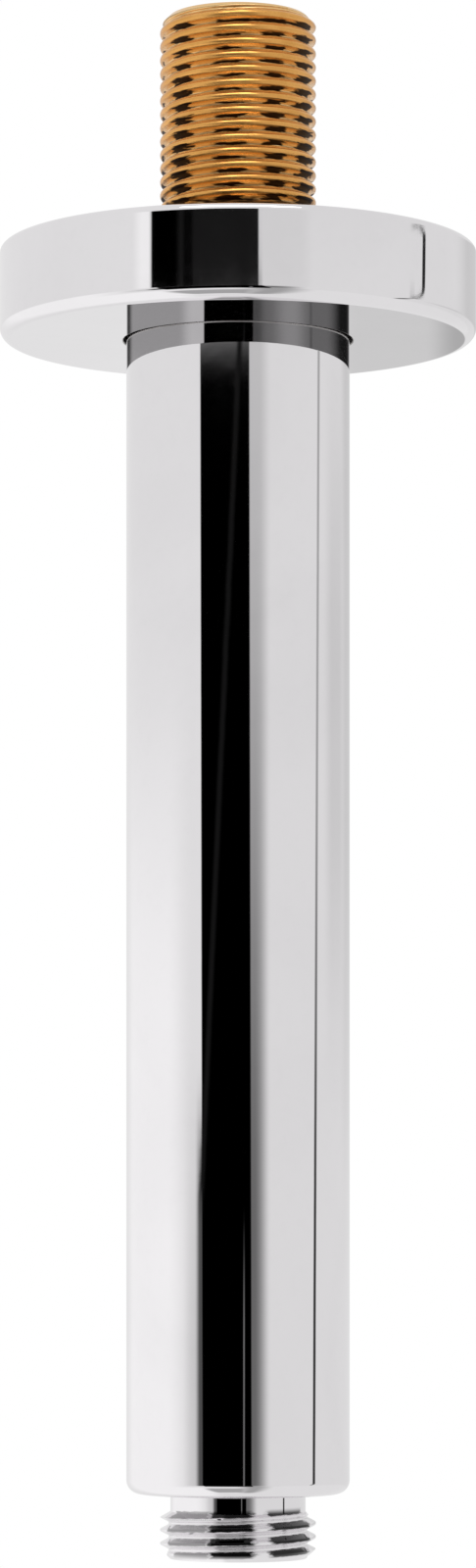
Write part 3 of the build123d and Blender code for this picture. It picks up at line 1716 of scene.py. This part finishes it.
@dataclass(frozen=True)
class PanelEdge:
    """Dark seam round the right edge of a panel with rounded corners.

    Args:
        azimuth: Azimuth of the upright stretch at the middle of its height, in degrees.
        elevation: Elevations of the lower and upper edges, in degrees.
        corner: Width and height of the rounded corners, in degrees.
        width: Half of the seam's width as a share of the corner.
        level: Brightness of the seam.
        lean: Change of azimuth with elevation.
        blur: Softness of the seam as a share of the corner.
        tail: Places across the corner between which the level stretches fade in.
    """

    azimuth: float
    elevation: Span
    corner: Span
    width: float
    level: float
    lean: float = 0.0
    blur: float = 0.05
    tail: Span = (-0.5, 0.1)

    def lay(self, sheet: NodeSheet, outlook: Outlook, under: Feed) -> Socket:
        """Lays the seam over what is already there.

        Args:
            sheet: Sheet of the world.
            outlook: Where the ray looks.
            under: Brightness below the seam.

        Returns:
            The brightness with the seam in place.
        """
        elevation = outlook.elevation
        across = sheet.math("SUBTRACT", outlook.azimuth, sheet.math("MULTIPLY", elevation, self.lean))
        middle = (self.elevation[0] + self.elevation[1]) / 2
        half = (self.elevation[1] - self.elevation[0]) / 2
        inner = self.azimuth - self.lean * middle - self.corner[0]
        right = sheet.math("DIVIDE", sheet.math("SUBTRACT", across, inner), self.corner[0])
        rise = sheet.math("ABSOLUTE", sheet.math("SUBTRACT", elevation, middle))
        up = sheet.math("DIVIDE", sheet.math("SUBTRACT", rise, half - self.corner[1]), self.corner[1])
        reach = sheet.hypotenuse(sheet.math("MAXIMUM", right, 0.0), sheet.math("MAXIMUM", up, 0.0))
        seam = sheet.band(reach, (1.0 - self.width, 1.0 + self.width), self.blur)
        seam = sheet.math("MULTIPLY", seam, sheet.ramp(right, *self.tail))
        return sheet.mix_value(seam, under, self.level)


@dataclass(frozen=True)
class Surroundings:
    """White studio with light and dark cards round the object.

    Args:
        level: Brightness of the walls.
        tube: Elevations of the cards that are seen in the tube.
        wall: Elevations of the cards that are seen in the flange's wall.
        mirror: Elevations that the flange's underside shows to the top of the tube.
    """

    level: float = 0.83
    tube: Span = (-9.3, 10.3)
    wall: Span = (10.3, 14.0)
    mirror: Span = (-11.0, -9.3)

    def cards(self) -> list[Card | PanelEdge]:
        """Lists the cards from the farthest to the nearest."""
        return self._room() + self._shades() + self._underside() + self._stripes()

    def _room(self) -> list[Card | PanelEdge]:
        """Lists the walls and the floor, with the patches that lie on them."""
        return [
            Card((6.0, 181.0), (-12.0, 90.0), 0.79, soft=4.0, soft_ends=2.0),
            Card((-150.0, -62.0), (-78.0, 4.5), 1.0, soft=16.0, soft_ends=3.0),
            Card((-112.0, 12.0), (-70.0, -20.0), 1.0, soft=8.0, soft_ends=6.0),
            Card((6.0, 30.0), (-70.0, -10.8), 0.40, soft=10.0, soft_ends=1.0),
            Card((-36.0, 8.0), (-66.0, -27.0), 0.42, soft=5.0, soft_ends=5.0),
            Card((138.0, 172.0), (2.0, 14.0), 0.64, soft=10.0, soft_ends=3.0),
            Card((106.0, 136.0), (3.0, 8.5), 0.66, soft=9.0, soft_ends=2.0),
            Card((176.0, 178.9), (-11.0, -8.4), 0.64, soft=0.25),
            Card((177.1, 177.7), (-10.6, -8.4), 0.44, soft=0.2),
        ]

    def _shades(self) -> list[Card | PanelEdge]:
        """Lists the soft shades on both sides of the dark cards."""
        low, top = self.tube
        return [
            Card((5.0, 28.0), (low, top), 0.60, soft=7.0),
            Card((5.0, 25.0), (low, 5.0), 0.15, soft=8.5, soft_ends=5.5),
            Card((-52.0, -30.0), (low, 0.5), 0.66, soft=8.0, soft_ends=2.0),
            Card((-42.3, -30.0), (low, 0.9), 0.08, soft=3.0, soft_ends=1.0),
            Card((-49.0, -38.0), self.wall, 0.97, soft=3.0),
            Card((5.0, 33.0), self.wall, 0.73, soft=4.0),
        ]

    def _underside(self) -> list[Card | PanelEdge]:
        """Lists what the top of the tube shows of the flange's underside."""
        shades = (
            ((-164.0, -30.0), 0.35, 4.0),
            ((-56.0, -30.0), 0.55, 9.0),
            ((-164.0, -146.0), 0.04, 9.0),
            ((5.0, 164.0), 0.15, 4.0),
            ((42.0, 70.0), 0.28, 12.0),
            ((5.0, 25.0), 0.07, 6.0),
            ((118.0, 164.0), 0.01, 16.0),
        )
        return [Card(azimuth, self.mirror, level, soft, doubled=True) for azimuth, level, soft in shades]

    def _stripes(self) -> list[Card | PanelEdge]:
        """Lists the dark cards: the broad stripe with its edges, and the thin lines at the right."""
        low, top = self.tube
        return [
            Card((-37.2, 13.4), (-13.5, top), 0.0, soft=0.8, soft_ends=0.8, lean=-0.2),
            Card((-41.6, 9.7), self.wall, 0.009, soft=0.5, soft_ends=0.12),
            Card((-41.6, -28.5), self.wall, 0.0, soft=1.8, soft_ends=0.12),
            Card((-26.0, -21.5), self.wall, 0.002, soft=1.2, soft_ends=0.12),
            Card((-41.7, -36.7), (0.2, top), 0.008, soft=2.2, lean=4.13),
            Card((5.4, 6.8), (low, -0.6), 0.16, soft=0.5, soft_ends=0.8),
            Card((84.7, 87.9), (low, top), 0.42, soft=0.7, lean=0.55),
            Card((84.7, 87.9), (low, 3.0), 0.03, soft=0.7, soft_ends=3.5, lean=0.55),
            PanelEdge(100.4, (10.33, 11.11), (7.5, 0.10), 0.15, 0.02, lean=1.0),
        ]

    def build(self) -> bpy.types.World:
        """Makes the world.

        Returns:
            The world: plain white to the camera, the studio to everything else.
        """
        world = bpy.data.worlds.new("studio")
        world.use_nodes = True
        sheet = NodeSheet(world.node_tree)
        right, away, up = sheet.split(sheet.add("ShaderNodeTexCoord").outputs["Generated"])
        elevation = sheet.math("DEGREES", sheet.math("ARCSINE", up))
        path = sheet.add("ShaderNodeLightPath").outputs
        doubled = sheet.math("GREATER_THAN", path["Glossy Depth"], 1.5)
        outlook = Outlook(sheet.azimuth(right, away), elevation, doubled)
        level: Feed = self.level
        for card in self.cards():
            level = card.lay(sheet, outlook, level)
        background = world.node_tree.nodes["Background"]
        sheet.feed(background.inputs["Color"], sheet.mix_value(path["Is Camera Ray"], level, 1.0))
        return world


@dataclass(frozen=True)
class StudioCamera:
    """Level camera of the photograph.

    Args:
        rows: Height of the image in pixels.
        scale: Pixels for each metre at the spout's axis.
        focal_rows: Focal length in pixels.
        ceiling_row: Row where the ceiling plane meets the axis.
        horizon_row: Row at the camera's own height.
        film: Height of the film.
        near: Distance where the view starts.
    """

    rows: float = 1600.0
    scale: float = 7600.0
    focal_rows: float = 5183.0
    ceiling_row: float = 254.5
    horizon_row: float = 1250.0
    film: float = 0.036
    near: float = 0.01

    def build(self) -> bpy.types.Object:
        """Sets the camera up and makes it the scene's camera.

        Returns:
            The camera.
        """
        film_mm = self.film * 1000
        data = bpy.data.cameras.new("studio_camera")
        data.sensor_width = film_mm
        data.lens = self.focal_rows / self.rows * film_mm
        data.shift_y = (self.horizon_row - self.rows / 2) / self.rows
        data.clip_start = self.near
        camera = bpy.data.objects.new("studio_camera", data)
        height = (self.ceiling_row - self.horizon_row) / self.scale
        camera.location = (0.0, -self.focal_rows / self.scale, height)
        camera.rotation_euler = (math.pi / 2, 0.0, 0.0)
        bpy.context.scene.collection.objects.link(camera)
        bpy.context.scene.camera = camera
        return camera


@dataclass(frozen=True)
class Studio:
    """Floor, light, surroundings and camera.

    Args:
        floor_gap: Distance of the floor below the outlet.
        floor_radius: Radius of the floor.
        floor_solid: Radius up to which the floor is solid.
        floor_margin: Width of the clear rim of the floor.
        floor_sides: Number of sides of the floor's outline.
        lamp_place: Place of the soft lamp.
        lamp_size: Width of the lamp.
        lamp_power: Power of the lamp in watts.
    """

    floor_gap: float = 0.06
    floor_radius: float = 0.62
    floor_solid: float = 0.25
    floor_margin: float = 0.02
    floor_sides: int = 96
    lamp_place: Triple = (0.02, -0.68, 0.95)
    lamp_size: float = 0.9
    lamp_power: float = 7.0

    def build(self, effects: SurfaceEffects) -> None:
        """Sets the studio up.

        Args:
            effects: Shared node groups.
        """
        scene = bpy.context.scene
        scene.view_settings.view_transform = "Standard"
        scene.world = Surroundings().build()
        self._build_floor(effects)
        self._build_lamp()
        StudioCamera().build()

    def _build_floor(self, effects: SurfaceEffects) -> None:
        """Lays the floor below the spout.

        Args:
            effects: Shared node groups.
        """
        finish = FloorFinish(
            name="pale_floor",
            pale=(0.93, 0.93, 0.93, 1.0),
            shaded=(0.90, 0.90, 0.90, 1.0),
            full_radius=self.floor_solid,
            clear_radius=self.floor_radius - self.floor_margin,
        )
        radius, sides = self.floor_radius, self.floor_sides
        angles = [math.tau * i / sides for i in range(sides)]
        rim = [(radius * math.cos(angle), radius * math.sin(angle), 0.0) for angle in angles]
        mesh = bpy.data.meshes.new("studio_floor")
        mesh.from_pydata(rim, [], [tuple(range(sides))])
        mesh.materials.append(finish.build(effects))
        floor = bpy.data.objects.new("studio_floor", mesh)
        floor.location = (0.0, 0.0, CAD_BOX[0][2] - self.floor_gap)
        bpy.context.scene.collection.objects.link(floor)
        floor.visible_glossy = False

    def _build_lamp(self) -> None:
        """Hangs the soft lamp above and in front, turned to the outlet."""
        data = bpy.data.lights.new("soft_lamp", "AREA")
        data.shape = "DISK"
        data.size = self.lamp_size
        data.energy = self.lamp_power
        lamp = bpy.data.objects.new("soft_lamp", data)
        lamp.location = self.lamp_place
        x, y, z = self.lamp_place
        drop = z - CAD_BOX[0][2]
        lamp.rotation_euler = (math.atan2(math.hypot(x, y), drop), 0.0, math.atan2(x, -y) + math.pi)
        bpy.context.scene.collection.objects.link(lamp)


def main() -> None:
    """Builds the spout and its studio."""
    logging.basicConfig(level=logging.INFO, format="%(name)s: %(message)s")
    effects = SurfaceEffects()
    Studio().build(effects)
    finishes = Finishes.build(effects)
    for maker in (SpoutTube(), InletNipple(), OutletNipple(), CeilingFlange(), GripRing()):
        maker.build(finishes)


if __name__ == "__main__":
    main()
